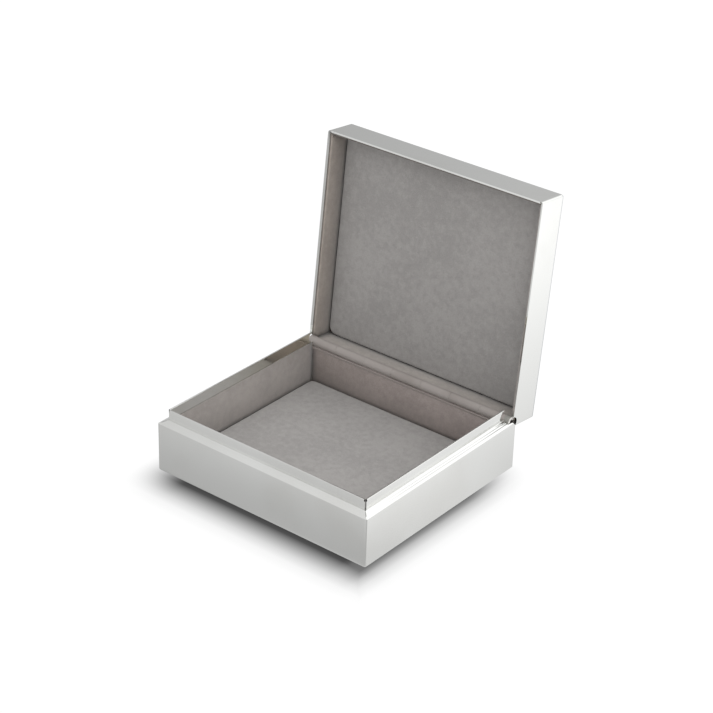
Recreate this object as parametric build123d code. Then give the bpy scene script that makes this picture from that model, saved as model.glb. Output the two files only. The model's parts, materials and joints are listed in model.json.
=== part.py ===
from build123d import *
import math
import os

# A hinged stamp box in polished plated sheet, lined with suede cloth.
# Lengths are in millimetres and angles in degrees.
# The origin is the centre of the underside, X runs along the hinge, Y to the hinge side, Z up.
# The lid is drawn closed and then turned open about the hinge, as the box stands open.

# Whole box
box_width = 120.0
box_depth = 108.0
base_height = 24.2
lid_height = 16.7
parting_gap = 0.3
open_angle = 96.2

# Metal sheet and its rounded edges
wall_sheet = 1.0
corner_round = 1.1
bottom_round = 1.05
lid_top_round = 0.7
lip_bevel = 0.15
lip_bevel_share = 0.5
lip_width = 2.35
seam_bevel = 0.12
foot_width = 1.6
floor_sheet = 1.2
lid_sheet = 1.0

# Upstand strip that the lid closes over, with a sloping ledge and mitred corners
rim_inset = 3.4
rim_height = 6.85
rim_sheet = 0.8
ledge_sheet = 0.8
ledge_rise = 1.6
rim_edge_round = 0.25
rim_bend_round = 0.3
mitre_gap = 0.15
corner_groove_radius = 0.7
ledge_hinge_gap = 0.05
notch_radius = 2.5
notch_rise = 4.1
horn_from_back = 5.3

# Full width tube hinge
axis_inset = 2.5
axis_rise = 0.5
tube_radius = 2.45
pin_radius = 1.15
pin_clearance = 0.05
pin_end_recess = 1.2
pin_end_round = 0.3
knuckle_count = 7
knuckle_gap = 0.1
knuckle_edge_bevel = 0.05
swing_clearance = 0.15
stop_clearance = 0.03

# Bearer strips that the knuckles are soldered to
base_seat_drop = 1.0
base_seat_height = 3.2
base_seat_nose_height = 0.8
base_seat_nose = 0.4
lid_seat_rise = 6.0

# Lining of the base
cloth = 0.4
base_back_lining = 4.7
base_cloth_top = 1.7
floor_board = 3.0
floor_pad = 1.4
floor_pad_gap = 0.5
floor_pad_corner = 0.8
pad_edge_round = 0.8
lining_fit = 0.1

# Lining of the lid
lid_board = 0.6
lid_hinge_board = 1.7
lid_lining_recess = 1.0
lid_pad_board = 1.5
lid_pad = 2.9
lid_pad_gap = 0.3
lid_pad_corner = 1.8
lid_cloth_hinge_gap = 0.3

# Places that follow from the sizes above
half_width = box_width / 2
half_depth = box_depth / 2
axis_y = half_depth - axis_inset
axis_z = base_height + axis_rise
lid_low = base_height + parting_gap
lid_high = lid_low + lid_height
rim_inner = rim_inset + rim_sheet
ledge_low = base_height - ledge_sheet
ledge_high = base_height + ledge_rise
rim_high = base_height + rim_height
base_side_board = rim_inner - wall_sheet
back_face = half_depth - wall_sheet - base_back_lining
seat_high = base_height - base_seat_drop
seat_low = seat_high - base_seat_height
lid_lining = lid_board + cloth
lid_hinge_lining = lid_hinge_board + cloth
lid_ceiling = lid_high - lid_sheet
lid_pad_face = lid_ceiling - lid_pad_board - lid_pad
sheet_inside = half_width - wall_sheet
tube_end = sheet_inside - knuckle_gap
overrun = 2 * wall_sheet
wedge_reach = 2 * rim_inner
cut_reach = 2 * lid_height
half_swing = math.radians(open_angle / 2)


def block(x0, x1, y0, y1, z0, z1):
    """A box between three pairs of limits."""
    middle = Pos((x0 + x1) / 2, (y0 + y1) / 2, (z0 + z1) / 2)
    return middle * Box(x1 - x0, y1 - y0, z1 - z0)


def bar(radius, x0, x1):
    """A round bar on the hinge axis."""
    return Pos((x0 + x1) / 2, axis_y, axis_z) * Rot(0, 90, 0) * Cylinder(radius, x1 - x0)


def prism_across(points):
    """A Y Z outline, measured from the hinge axis, run across the whole width."""
    outline = Plane.YZ * Pos(axis_y, axis_z) * Polygon(*points, align=None)
    return extrude(outline, half_width + overrun, both=True)


def corner_wedge(side, ease=0.0):
    """The share of the box that one mitred side takes, eased back from its corners."""
    low_x = -half_width - overrun + ease
    low_y = -half_depth - overrun
    deep = wedge_reach + overrun
    if side in ("front", "back"):
        points = [
            (low_x, low_y),
            (-low_x, low_y),
            (-low_x - deep, low_y + deep),
            (low_x + deep, low_y + deep),
        ]
    else:
        points = [
            (low_y + ease, low_x - ease),
            (-low_y - ease, low_x - ease),
            (-low_y - ease - deep, low_x - ease + deep),
            (low_y + ease + deep, low_x - ease + deep),
        ]
    outline = Polygon(*points, align=None)
    wedge = extrude(Pos(0, 0, -overrun) * outline, lid_high + 2 * overrun)
    turns = {"front": 0, "back": 180, "left": -90, "right": 90}
    return Rot(0, 0, turns[side]) * wedge


def knuckle_spans(owner):
    """The X limits of the knuckles of one owner, 0 for the base and 1 for the lid."""
    length = (2 * tube_end - (knuckle_count - 1) * knuckle_gap) / knuckle_count
    spans = []
    for index in range(knuckle_count):
        if index % 2 == owner:
            start = index * (length + knuckle_gap) - tube_end
            spans.append((start, start + length))
    return spans


def hinge_room(owner):
    """What a piece leaves free round the tube, between the side walls' outer sheets."""
    room = bar(tube_radius, -sheet_inside, sheet_inside)
    for start, end in knuckle_spans(1 - owner):
        room += bar(tube_radius + swing_clearance, start - knuckle_gap, end + knuckle_gap)
    return room


def lid_hinge_room():
    """Room round the tube for the lid, whose side walls have a round notch at its ends."""
    room = hinge_room(1)
    for side in (-1, 1):
        start = side * (half_width + overrun)
        end = side * (sheet_inside - lid_lining)
        room += bar(tube_radius + swing_clearance, min(start, end), max(start, end))
    return room


def stop_cut(direction):
    """The bevel behind the hinge: -1 bevels the base downwards, 1 bevels the lid upwards."""
    along = (math.cos(half_swing), direction * math.sin(half_swing))
    start = (-stop_clearance * math.sin(half_swing), direction * stop_clearance * math.cos(half_swing))
    end = (start[0] + cut_reach * along[0], start[1] + cut_reach * along[1])
    far = (end[0], -direction * cut_reach)
    return prism_across([start, end, far, (start[0], -direction * cut_reach)])


def under_slope(z, run, rise):
    """All that lies below slopes that start at the walls' outside at this height and rise inwards."""
    low = Pos(0, 0, z) * Rectangle(box_width, box_depth)
    high = Pos(0, 0, z + rise) * Rectangle(box_width - 2 * run, box_depth - 2 * run)
    core = block(-half_width, half_width, -half_depth, half_depth, -overrun, z)
    return core + loft([low, high], ruled=True)


def rounded_block(z0, z1, closed_at_top, end_round):
    """The outside of one half, rounded at its upright corners and round its closed end."""
    body = block(-half_width, half_width, -half_depth, half_depth, z0, z1)
    body = fillet(body.edges().filter_by(Axis.Z), corner_round)
    ends = body.faces().sort_by(Axis.Z)
    return fillet(ends[-1 if closed_at_top else 0].edges(), end_round)


def opening(inset, z0, z1):
    """A rectangular hole whose sides lie this far inside the walls' outside."""
    x = half_width - inset
    y = half_depth - inset
    return block(-x, x, -y, y, z0, z1)


def base_walls():
    """Four mitred walls with a sloping lip, whose rounded foot the floor plate is let into."""
    bevel_rise = lip_bevel + ledge_rise
    shell = rounded_block(0, ledge_high, False, bottom_round)
    shell &= under_slope(base_height, rim_inset, ledge_rise)
    shell &= under_slope(base_height - lip_bevel, bevel_rise * lip_bevel_share, bevel_rise)
    shell -= opening(wall_sheet, floor_sheet, ledge_low)
    shell -= opening(foot_width, -overrun, floor_sheet)
    shell -= opening(lip_width, ledge_low, ledge_high + overrun)
    shell = shell - hinge_room(0) - stop_cut(-1)
    return {"base_%s_wall" % side: shell & corner_wedge(side) for side in ("front", "back", "left", "right")}


def base_floor_plate():
    """The flat sheet between the feet of the walls, which the box stands on."""
    x = half_width - foot_width
    y = half_depth - foot_width
    return block(-x, x, -y, y, 0, floor_sheet)


def rim_profile(plane, run):
    """The section: a flange whose top goes on with the lip's slope, and the upright."""
    slope = ledge_rise / rim_inset
    seam_high = base_height + slope * (lip_width + seam_bevel)
    points = [
        (lip_width, ledge_low),
        (rim_inner, ledge_low),
        (rim_inner, rim_high),
        (rim_inset, rim_high),
        (rim_inset, ledge_high),
        (lip_width + seam_bevel, seam_high),
        (lip_width, seam_high - seam_bevel),
    ]
    section = Polygon(*points, align=None)
    top_corners = section.vertices().sort_by(Axis.Y)[-2:]
    section = fillet(top_corners, rim_edge_round)
    inner_corner = [v for v in section.vertices() if abs(v.Y - ledge_high) + abs(v.X - rim_inset) < rim_edge_round]
    section = fillet(inner_corner, rim_bend_round)
    return extrude(plane * section, run, both=True)


def rim_corner_groove(x):
    """The small upright groove left where two strips meet."""
    high = rim_high + overrun
    post = Cylinder(corner_groove_radius, high - ledge_high)
    return Pos(x, rim_inset - half_depth, (ledge_high + high) / 2) * post


def rim_strips():
    """Front, left and right strips; the side ones end in a hollow curve over the hinge."""
    front_plane = Plane(origin=(0, -half_depth, 0), x_dir=(0, 1, 0), z_dir=(1, 0, 0))
    front = rim_profile(front_plane, half_width) & corner_wedge("front", mitre_gap / 2)
    side_plane = Plane(origin=(half_width, 0, 0), x_dir=(-1, 0, 0), z_dir=(0, 1, 0))
    right = rim_profile(side_plane, half_depth) & corner_wedge("right", mitre_gap / 2)
    low_x = half_width - rim_inner - overrun
    high_x = half_width + overrun
    horn_end = half_depth - horn_from_back
    right -= block(low_x, high_x, horn_end, half_depth + overrun, ledge_high, rim_high + overrun)
    right -= block(low_x, high_x, axis_y, half_depth + overrun, 0, rim_high + overrun)
    right -= bar(tube_radius + ledge_hinge_gap, low_x, high_x)
    notch = Rot(0, 90, 0) * Cylinder(notch_radius, box_width)
    right -= Pos(half_width, horn_end, base_height + notch_rise) * notch
    groove_x = half_width - rim_inset
    front = front - rim_corner_groove(groove_x) - rim_corner_groove(-groove_x)
    right -= rim_corner_groove(groove_x)
    return {"rim_front": front, "rim_right": right, "rim_left": mirror(right, about=Plane.YZ)}


def base_hinge_seat():
    """The grooved bearer inside the back wall, with a thin nose over the back lining."""
    x = half_width - wall_sheet
    inner_y = half_depth - wall_sheet
    seat = block(-x, x, back_face + base_seat_nose, inner_y, seat_low, seat_high)
    nose_x = half_width - rim_inner - cloth
    seat += block(-nose_x, nose_x, back_face, inner_y, seat_high - base_seat_nose_height, seat_high)
    return seat - hinge_room(0) - stop_cut(-1)


def base_lining():
    """Liner boards on the four walls and the cloth that covers each of them."""
    wall_x = half_width - wall_sheet
    wall_y = half_depth - wall_sheet
    face_x = wall_x - base_side_board
    face_y = wall_y - base_side_board
    board_back = back_face + cloth
    cloth_high = base_height + base_cloth_top
    nose_low = seat_high - base_seat_nose_height
    side_board = block(face_x, wall_x, -face_y, board_back, floor_sheet, ledge_low)
    side_board -= block(face_x, wall_x, back_face, board_back, seat_low, ledge_low)
    side_cloth = block(face_x - cloth, face_x, cloth - face_y, back_face, floor_sheet, cloth_high)
    return {
        "base_front_liner": block(-wall_x, wall_x, -wall_y, -face_y, floor_sheet, ledge_low),
        "base_back_liner": block(-wall_x, wall_x, board_back, wall_y, floor_sheet, seat_low),
        "base_right_liner": side_board,
        "base_left_liner": mirror(side_board, about=Plane.YZ),
        "base_front_cloth": block(-face_x, face_x, -face_y, cloth - face_y, floor_sheet, cloth_high),
        "base_back_cloth": block(-face_x, face_x, back_face, board_back, floor_sheet, nose_low),
        "base_right_cloth": side_cloth,
        "base_left_cloth": mirror(side_cloth, about=Plane.YZ),
    }


def soft_pad(x, y_front, y_back, z_fixed, z_face, corner):
    """A flat covered pad with its showing edges rounded over."""
    pad = block(-x, x, y_front, y_back, min(z_fixed, z_face), max(z_fixed, z_face))
    pad = fillet(pad.edges().filter_by(Axis.Z), corner)
    faces = pad.faces().sort_by(Axis.Z)
    showing = faces[-1] if z_face > z_fixed else faces[0]
    return fillet(showing.edges(), pad_edge_round)


def base_floor():
    """The board on the floor plate and the covered pad on it."""
    x = half_width - rim_inner - cloth
    y_front = rim_inner + cloth - half_depth
    board_high = floor_sheet + floor_board
    board = block(
        lining_fit - x,
        x - lining_fit,
        y_front + lining_fit,
        back_face - lining_fit,
        floor_sheet,
        board_high,
    )
    pad_front = y_front + floor_pad_gap
    pad_back = back_face - floor_pad_gap
    pad_x = x - floor_pad_gap
    pad_high = board_high + floor_pad
    pad = soft_pad(pad_x, pad_front, pad_back, board_high, pad_high, floor_pad_corner)
    return {"floor_board": board, "floor_pad": pad}


def knuckles(owner, name):
    """Tube lengths, softened at their ends, bored for the pin with running clearance."""
    made = {}
    for number, (start, end) in enumerate(knuckle_spans(owner), 1):
        tube = bar(tube_radius, start, end)
        tube = chamfer(tube.edges().filter_by(GeomType.CIRCLE), knuckle_edge_bevel)
        tube -= bar(pin_radius + pin_clearance, start - overrun, end + overrun)
        made["%s_knuckle_%d" % (name, number)] = tube
    return made


def hinge_pin():
    """One pin through all knuckles, its domed ends a little inside the outer ones."""
    end = tube_end - pin_end_recess
    pin = bar(pin_radius, -end, end)
    return fillet(pin.edges().filter_by(GeomType.CIRCLE), pin_end_round)


def lid_walls():
    """Four mitred walls with a turned-in return that the top plate is let into."""
    shell = rounded_block(lid_low, lid_high, True, lid_top_round)
    shell -= under_slope(lid_low, rim_inset, ledge_rise)
    shell -= opening(wall_sheet, lid_low - overrun, lid_ceiling)
    shell -= opening(foot_width, lid_ceiling, lid_high + overrun)
    shell = shell - lid_hinge_room() - stop_cut(1)
    return {"lid_%s_wall" % side: shell & corner_wedge(side) for side in ("front", "back", "left", "right")}


def lid_top_plate():
    """The flat top sheet between the returns of the walls."""
    x = half_width - foot_width
    y = half_depth - foot_width
    return block(-x, x, -y, y, lid_ceiling, lid_high)


def lid_hinge_seat():
    """The bearer inside the lid's back wall that carries the lid's knuckles."""
    x = half_width - wall_sheet
    inner_y = half_depth - wall_sheet
    seat = block(-x, x, inner_y - lid_hinge_board, inner_y, axis_z, axis_z + lid_seat_rise)
    return seat - lid_hinge_room() - stop_cut(1)


def lid_lining_parts():
    """Liner boards of the lid and the cloth that covers each face and opening edge."""
    wall_x = half_width - wall_sheet
    wall_y = half_depth - wall_sheet
    board_x = wall_x - lid_board
    board_front = wall_y - lid_board
    board_back = wall_y - lid_hinge_board
    face_x = board_x - cloth
    face_front = board_front - cloth
    face_back = board_back - cloth
    cloth_low = lid_low + lid_lining_recess
    board_low = cloth_low + cloth
    seat_top = axis_z + lid_seat_rise
    hinge_cloth_low = axis_z + tube_radius + lid_cloth_hinge_gap
    hinge_room_all = bar(tube_radius + lid_cloth_hinge_gap, -half_width, half_width)
    side_board = block(board_x, wall_x, -board_front, board_back, board_low, lid_ceiling) - hinge_room_all
    side_cloth = block(face_x, board_x, -face_front, face_back, cloth_low, lid_ceiling)
    side_cloth += block(face_x, wall_x, -face_front, face_back, cloth_low, board_low)
    side_cloth -= hinge_room_all
    front_cloth = block(-board_x, board_x, -board_front, -face_front, cloth_low, lid_ceiling)
    front_cloth += block(-wall_x, wall_x, -wall_y, -face_front, cloth_low, board_low)
    return {
        "lid_front_liner": block(-wall_x, wall_x, -wall_y, -board_front, board_low, lid_ceiling),
        "lid_back_liner": block(-wall_x, wall_x, board_back, wall_y, seat_top, lid_ceiling),
        "lid_right_liner": side_board,
        "lid_left_liner": mirror(side_board, about=Plane.YZ),
        "lid_front_cloth": front_cloth,
        "lid_back_cloth": block(-board_x, board_x, face_back, board_back, hinge_cloth_low, lid_ceiling),
        "lid_right_cloth": side_cloth,
        "lid_left_cloth": mirror(side_cloth, about=Plane.YZ),
    }


def lid_ceiling_pad():
    """The board under the top plate and the covered pad on it."""
    x = half_width - wall_sheet - lid_lining
    y_front = half_depth - wall_sheet - lid_lining
    y_back = half_depth - wall_sheet - lid_hinge_lining
    board_low = lid_ceiling - lid_pad_board
    fit_x = x - lining_fit
    board = block(-fit_x, fit_x, lining_fit - y_front, y_back - lining_fit, board_low, lid_ceiling)
    pad_front = lid_pad_gap - y_front
    pad_back = y_back - lid_pad_gap
    pad = soft_pad(x - lid_pad_gap, pad_front, pad_back, board_low, lid_pad_face, lid_pad_corner)
    return {"lid_pad_board": board, "lid_pad": pad}


def base_pieces():
    """Every piece of the standing half, with the pin."""
    pieces = base_walls()
    pieces["base_floor_plate"] = base_floor_plate()
    pieces.update(rim_strips())
    pieces["base_hinge_seat"] = base_hinge_seat()
    pieces.update(base_lining())
    pieces.update(base_floor())
    pieces.update(knuckles(0, "base"))
    pieces["hinge_pin"] = hinge_pin()
    return pieces


def lid_pieces():
    """Every piece of the lid, turned open about the hinge axis."""
    pieces = lid_walls()
    pieces["lid_top_plate"] = lid_top_plate()
    pieces["lid_hinge_seat"] = lid_hinge_seat()
    pieces.update(lid_lining_parts())
    pieces.update(lid_ceiling_pad())
    pieces.update(knuckles(1, "lid"))
    hinge_axis = Axis((0, axis_y, axis_z), (1, 0, 0))
    return {name: piece.rotate(hinge_axis, -open_angle) for name, piece in pieces.items()}


def write_parts():
    """One file for each piece."""
    os.makedirs("parts", exist_ok=True)
    pieces = base_pieces()
    pieces.update(lid_pieces())
    for name, piece in pieces.items():
        export_step(piece, "parts/%s.step" % name)
        print(name, round(piece.volume, 2))


write_parts()
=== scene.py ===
import json
import math

import bmesh
import bpy
from mathutils import Matrix, Vector, noise


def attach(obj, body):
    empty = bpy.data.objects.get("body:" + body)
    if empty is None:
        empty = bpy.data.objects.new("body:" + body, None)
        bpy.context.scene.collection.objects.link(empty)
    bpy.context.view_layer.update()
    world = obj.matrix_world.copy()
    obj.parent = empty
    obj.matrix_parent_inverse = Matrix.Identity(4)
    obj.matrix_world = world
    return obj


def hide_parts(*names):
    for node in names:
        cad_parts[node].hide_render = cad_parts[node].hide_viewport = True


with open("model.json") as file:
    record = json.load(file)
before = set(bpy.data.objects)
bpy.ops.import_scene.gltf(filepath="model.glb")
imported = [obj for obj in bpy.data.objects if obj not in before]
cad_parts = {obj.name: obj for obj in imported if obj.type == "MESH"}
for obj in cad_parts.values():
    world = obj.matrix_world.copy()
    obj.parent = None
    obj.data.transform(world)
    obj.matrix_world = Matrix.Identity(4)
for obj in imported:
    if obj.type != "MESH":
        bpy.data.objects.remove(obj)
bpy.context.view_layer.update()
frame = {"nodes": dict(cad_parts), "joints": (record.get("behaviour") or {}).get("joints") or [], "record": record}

# A hinged box in polished silver plate, standing open, lined with warm grey suede.
# Everything is in metres. Pieces of the lid are shaped with the lid shut and then turned open.

mm = 0.001
cadNodes = frame["nodes"]
hinge = frame["joints"][0]
hingePoint = Vector(hinge["pos_m"])
shutAngle = math.radians(hinge["range_deg"][1])
toOpen = (
    Matrix.Translation(hingePoint)
    @ Matrix.Rotation(-shutAngle, 4, "X")
    @ Matrix.Translation(-hingePoint)
)
toShut = toOpen.inverted()


def boxOf(node, lidShut=False):
    # lowest and highest corner of a CAD piece, if asked with the lid shut
    turn = toShut if lidShut else Matrix.Identity(4)
    points = [turn @ vertex.co for vertex in cadNodes[node].data.vertices]
    low = Vector([min(point[axis] for point in points) for axis in range(3)])
    high = Vector([max(point[axis] for point in points) for axis in range(3)])
    return low, high


# Camera and studio

studio = {
    "cameraAt": (0.51507, -0.64225, 0.50973),
    "cameraTurn": (61.250, -1.440, 38.991),
    "lens": 107.42,
    "sensor": 36,
    "floorSize": 6,
    "skyLevel": 0.88,
    "skyTilt": (0.76, -0.07, 0.32),    # brighter to the right, to the front and overhead
    # held back in what the plate mirrors: on the right, straight overhead, and to the front on the right
    "skyRight": (0.32, 0.85, 0, -0.6),
    "skyTop": (0.87, 0.99, 0, -0.28),
    "skyFrontRight": ((-0.4, 0.5, 0, -0.38), (0.3, -0.3, 0, 1)),
    "lampAt": (0.55, 0.35, 1.0),
    "lampSize": 0.9,
    "lampPower": 5,
    "floorBounce": 0.8,
    # the soft contact shadow: tone at so many mm from the foot, deep in front and lighter beside
    "frontShadow": [(0, 0.055), (2, 0.07), (6, 0.28), (10, 0.51), (13, 0.69), (18, 0.90), (26, 1)],
    "sideShadow": [
        (-10, 0), (-6, 0.11), (-3, 0.13), (0, 0.14), (2, 0.26), (4, 0.48), (8, 0.755), (13, 0.93), (20, 1),
    ],
    "floorWhite": 1.04,
    "leftFade": (-71.5 * mm, -42 * mm),
    "backFade": (18 * mm, 62 * mm),    # the light comes from behind on the right
    "backFadeFrom": (30 * mm, 58 * mm),
    "mirrorShare": 0.02,
    "mirrorRough": 0.08,
    "frontTones": (0.465, 0.70),       # what the plate mirrors of the floor, near and far
    "frontReach": 60 * mm,
    "frontBlend": 3 * mm,
    "sideTones": (0.66, 0.80, 1.12),   # beside the box, a little off and far off
    "sideReach": (25 * mm, 133 * mm),
    "sideBumps": ((-50 * mm, 0, 0, 0.07), (15 * mm, 65 * mm, 0, -0.05)),
    "leftShare": 0.55,                 # the same beside the left wall, as a share
    # a darker patch behind on the right, between two distances and up to a slanting line
    "patchFrom": (95 * mm, 125 * mm, 0, 0.32),
    "patchTo": (200 * mm, 300 * mm, 1, 0),
    "patchBehind": (112 * mm, 150 * mm, 0, 1),
    "patchSlope": 1.24,
    "patchSlant": (-72 * mm, -34 * mm, 1, 0),
}


def spread(nodes, links, source, low, high, toLow=0.0, toHigh=1.0, kind="SMOOTHSTEP"):
    # a change from one value to another as the source goes from low to high
    step = nodes.new("ShaderNodeMapRange")
    step.interpolation_type = kind
    step.inputs["From Min"].default_value = low
    step.inputs["From Max"].default_value = high
    step.inputs["To Min"].default_value = toLow
    step.inputs["To Max"].default_value = toHigh
    links.new(source, step.inputs["Value"])
    return step.outputs["Result"]


def sums(nodes, links, operation, first, second):
    step = nodes.new("ShaderNodeMath")
    step.operation = operation
    for socket, value in zip(step.inputs, (first, second)):
        if isinstance(value, (int, float)):
            socket.default_value = value
        else:
            links.new(value, socket)
    return step.outputs["Value"]


def times(nodes, links, first, *others):
    # several numbers multiplied
    for other in others:
        first = sums(nodes, links, "MULTIPLY", first, other)
    return first


def vectors(nodes, links, operation, first, second=None, output="Vector"):
    # one sum with vectors, each from a socket or given plainly
    step = nodes.new("ShaderNodeVectorMath")
    step.operation = operation
    for socket, value in zip(step.inputs, (first, second)):
        if isinstance(value, (tuple, Vector)):
            socket.default_value = value
        elif value is not None:
            links.new(value, socket)
    return step.outputs[output]


def partsOf(nodes, links, source):
    # the x, y and z of a vector
    split = nodes.new("ShaderNodeSeparateXYZ")
    links.new(source, split.inputs["Vector"])
    return split.outputs["X"], split.outputs["Y"], split.outputs["Z"]


def objectPlace(nodes):
    return nodes.new("ShaderNodeTexCoord").outputs["Object"]


def addShares(nodes, links, first, second, share):
    # two patterns added, the first by a share and the second by the rest
    firstPart = times(nodes, links, first, share)
    secondPart = times(nodes, links, second, 1 - share)
    return sums(nodes, links, "ADD", firstPart, secondPart)


def buildCamera(settings):
    camera = bpy.data.cameras.new("camera")
    camera.sensor_width = settings["sensor"]
    camera.lens = settings["lens"]
    holder = bpy.data.objects.new("camera", camera)
    holder.location = settings["cameraAt"]
    holder.rotation_euler = [math.radians(angle) for angle in settings["cameraTurn"]]
    bpy.context.scene.collection.objects.link(holder)
    bpy.context.scene.camera = holder


def buildSky(settings):
    # white where the camera looks, a soft uneven studio for everything else
    world = bpy.data.worlds.new("studio")
    bpy.context.scene.world = world
    world.use_nodes = True
    nodes, links = world.node_tree.nodes, world.node_tree.links
    nodes.clear()
    towards = nodes.new("ShaderNodeTexCoord").outputs["Generated"]
    x, y, z = partsOf(nodes, links, towards)
    tilt = vectors(nodes, links, "DOT_PRODUCT", towards, settings["skyTilt"], "Value")
    level = sums(nodes, links, "ADD", tilt, settings["skyLevel"])
    heldBack = sums(
        nodes, links, "ADD",
        spread(nodes, links, x, *settings["skyRight"]),
        spread(nodes, links, z, *settings["skyTop"]),
    )
    toRight, toFront = settings["skyFrontRight"]
    corner = times(nodes, links, spread(nodes, links, x, *toRight), spread(nodes, links, y, *toFront))
    heldBack = sums(nodes, links, "ADD", heldBack, corner)
    rays = nodes.new("ShaderNodeLightPath")
    heldBack = times(nodes, links, heldBack, rays.outputs["Is Glossy Ray"])
    sky = nodes.new("ShaderNodeBackground")
    links.new(sums(nodes, links, "ADD", level, heldBack), sky.inputs["Strength"])
    white = nodes.new("ShaderNodeBackground")
    for background in (sky, white):
        background.inputs["Color"].default_value = (1, 1, 1, 1)
    mix = nodes.new("ShaderNodeMixShader")
    links.new(rays.outputs["Is Camera Ray"], mix.inputs["Fac"])
    links.new(sky.outputs["Background"], mix.inputs[1])
    links.new(white.outputs["Background"], mix.inputs[2])
    out = nodes.new("ShaderNodeOutputWorld")
    links.new(mix.outputs["Shader"], out.inputs["Surface"])


def readStops(nodes, links, distance, stops):
    # a tone read off at a distance
    first, last = stops[0][0] * mm, stops[-1][0] * mm
    ramp = nodes.new("ShaderNodeValToRGB")
    while len(ramp.color_ramp.elements) < len(stops):
        ramp.color_ramp.elements.new(0.5)
    for element, (place, tone) in zip(ramp.color_ramp.elements, stops):
        element.position = (place * mm - first) / (last - first)
        element.color = (tone, tone, tone, 1)
    links.new(spread(nodes, links, distance, first, last, 0, 1, "LINEAR"), ramp.inputs["Fac"])
    return ramp.outputs["Color"]


def floorMaterial(settings):
    # a white floor with the box's contact shadow, which the plate mirrors as soft grey cards
    material = bpy.data.materials.new("paleFloor")
    material.use_nodes = True
    nodes, links = material.node_tree.nodes, material.node_tree.links
    nodes.clear()
    wallLow, wallHigh = boxOf("base_front_wall")
    frontEdge = wallLow.y
    halfWidth = wallHigh.x
    x, y = partsOf(nodes, links, objectPlace(nodes))[:2]

    # contact shadow, from how far a point is before, beside and behind the box: halfway between
    # the depth at the nearest fading edge and the depths of all three multiplied
    ahead = sums(nodes, links, "SUBTRACT", frontEdge, y)
    behind = sums(nodes, links, "ADD", y, frontEdge)
    beside = sums(nodes, links, "SUBTRACT", x, halfWidth)
    least = 1
    product = 1
    for distance, stops in ((ahead, "frontShadow"), (beside, "sideShadow"), (behind, "sideShadow")):
        depth = sums(nodes, links, "SUBTRACT", 1, readStops(nodes, links, distance, settings[stops]))
        least = sums(nodes, links, "MINIMUM", least, depth)
        product = times(nodes, links, product, depth)
    fromBehind = times(
        nodes, links,
        spread(nodes, links, y, *settings["backFade"]),
        spread(nodes, links, x, *settings["backFadeFrom"]),
    )
    darkness = times(
        nodes, links,
        sums(nodes, links, "ADD", least, product), 0.5,
        spread(nodes, links, x, *settings["leftFade"]),
        sums(nodes, links, "SUBTRACT", 1, fromBehind),
    )
    shade = times(nodes, links, sums(nodes, links, "SUBTRACT", 1, darkness), settings["floorWhite"])
    seen = nodes.new("ShaderNodeEmission")
    links.new(shade, seen.inputs["Strength"])
    mirror = nodes.new("ShaderNodeBsdfGlossy")
    mirror.inputs["Roughness"].default_value = settings["mirrorRough"]
    seenFloor = nodes.new("ShaderNodeMixShader")
    seenFloor.inputs["Fac"].default_value = settings["mirrorShare"]
    links.new(seen.outputs["Emission"], seenFloor.inputs[1])
    links.new(mirror.outputs["BSDF"], seenFloor.inputs[2])

    # what the plate mirrors
    frontFar = frontEdge - settings["frontReach"]
    frontTone = spread(nodes, links, y, frontEdge, frontFar, *settings["frontTones"])
    nearTone, offTone, farTone = settings["sideTones"]
    offAt, farAt = [halfWidth + reach for reach in settings["sideReach"]]
    aside = sums(nodes, links, "ABSOLUTE", x, 0)
    sideTone = sums(
        nodes, links, "ADD",
        spread(nodes, links, aside, halfWidth, offAt, nearTone, offTone, "LINEAR"),
        spread(nodes, links, aside, offAt, farAt, 0, farTone - offTone, "LINEAR"),
    )
    for bump in settings["sideBumps"]:
        sideTone = sums(nodes, links, "ADD", sideTone, spread(nodes, links, y, *bump))
    leftShare = spread(nodes, links, x, -halfWidth, halfWidth, settings["leftShare"], 1)
    sideTone = times(nodes, links, sideTone, leftShare)
    slant = sums(nodes, links, "SUBTRACT", y, times(nodes, links, x, settings["patchSlope"]))
    patch = times(
        nodes, links,
        spread(nodes, links, x, *settings["patchFrom"]),
        spread(nodes, links, slant, *settings["patchSlant"]),
        spread(nodes, links, x, *settings["patchTo"]),
        spread(nodes, links, y, *settings["patchBehind"]),
    )
    sideTone = sums(nodes, links, "SUBTRACT", sideTone, patch)
    blend = settings["frontBlend"]
    isFront = spread(nodes, links, y, frontEdge + blend, frontEdge - blend)
    tone = nodes.new("ShaderNodeMix")
    links.new(isFront, tone.inputs["Factor"])
    links.new(sideTone, tone.inputs["A"])
    links.new(frontTone, tone.inputs["B"])
    card = nodes.new("ShaderNodeEmission")
    links.new(tone.outputs["Result"], card.inputs["Strength"])

    # what everything else gets back from the floor
    plain = nodes.new("ShaderNodeBsdfDiffuse")
    plain.inputs["Color"].default_value = (settings["floorBounce"],) * 3 + (1,)
    rays = nodes.new("ShaderNodeLightPath")
    mirrored = nodes.new("ShaderNodeMixShader")
    links.new(rays.outputs["Is Glossy Ray"], mirrored.inputs["Fac"])
    links.new(plain.outputs["BSDF"], mirrored.inputs[1])
    links.new(card.outputs["Emission"], mirrored.inputs[2])
    final = nodes.new("ShaderNodeMixShader")
    links.new(rays.outputs["Is Camera Ray"], final.inputs["Fac"])
    links.new(mirrored.outputs["Shader"], final.inputs[1])
    links.new(seenFloor.outputs["Shader"], final.inputs[2])
    out = nodes.new("ShaderNodeOutputMaterial")
    links.new(final.outputs["Shader"], out.inputs["Surface"])
    return material


def buildFloor(settings):
    shape = bmesh.new()
    bmesh.ops.create_grid(shape, x_segments=1, y_segments=1, size=settings["floorSize"] / 2)
    mesh = bpy.data.meshes.new("floor")
    shape.to_mesh(mesh)
    shape.free()
    floor = bpy.data.objects.new("floor", mesh)
    bpy.context.scene.collection.objects.link(floor)
    mesh.materials.append(floorMaterial(settings))


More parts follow.
